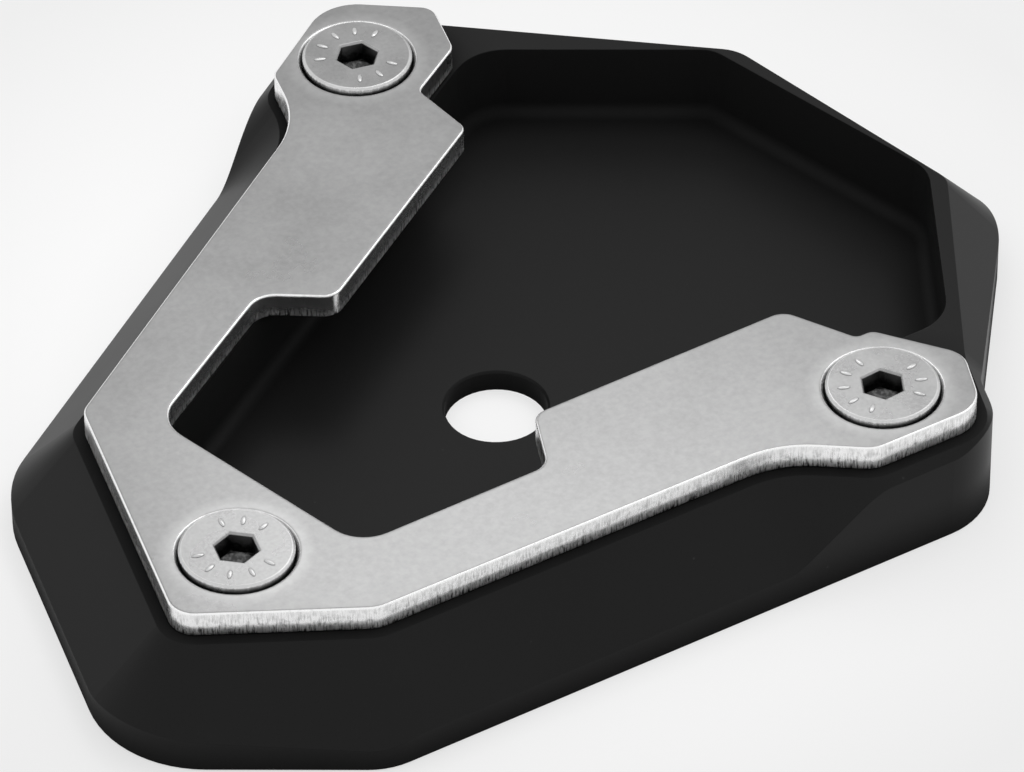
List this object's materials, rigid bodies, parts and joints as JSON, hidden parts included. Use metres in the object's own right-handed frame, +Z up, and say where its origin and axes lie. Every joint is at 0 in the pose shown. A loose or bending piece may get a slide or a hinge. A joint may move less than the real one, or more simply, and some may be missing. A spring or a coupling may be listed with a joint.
{
  "type": "kickstand foot enlarger",
  "caption": "Wide aluminium foot with a pocket and drain hole, and a screwed-on steel clamp plate, that spreads a motorcycle side stand's load on soft ground.",
  "frame": {"origin": "on the ground under the middle of the foot's outline box", "axes": "+Z up from the ground, +X along the clamp plate's long front arm towards the open end of the throat, +Y towards the back arm"},
  "size_m": [0.12, 0.0972, 0.0149],
  "materials": {
    "base_plate": "black anodised, satin",
    "clamp_plate": "tumbled stainless sheet with cut edges",
    "clamp_screw": "bright turned stainless"
  },
  "bodies": {
    "root": {"base_plate": "base_plate", "clamp_plate": "clamp_plate", "clamp_screw_1": "clamp_screw", "clamp_screw_2": "clamp_screw", "clamp_screw_3": "clamp_screw"}
  },
  "joints": []
}
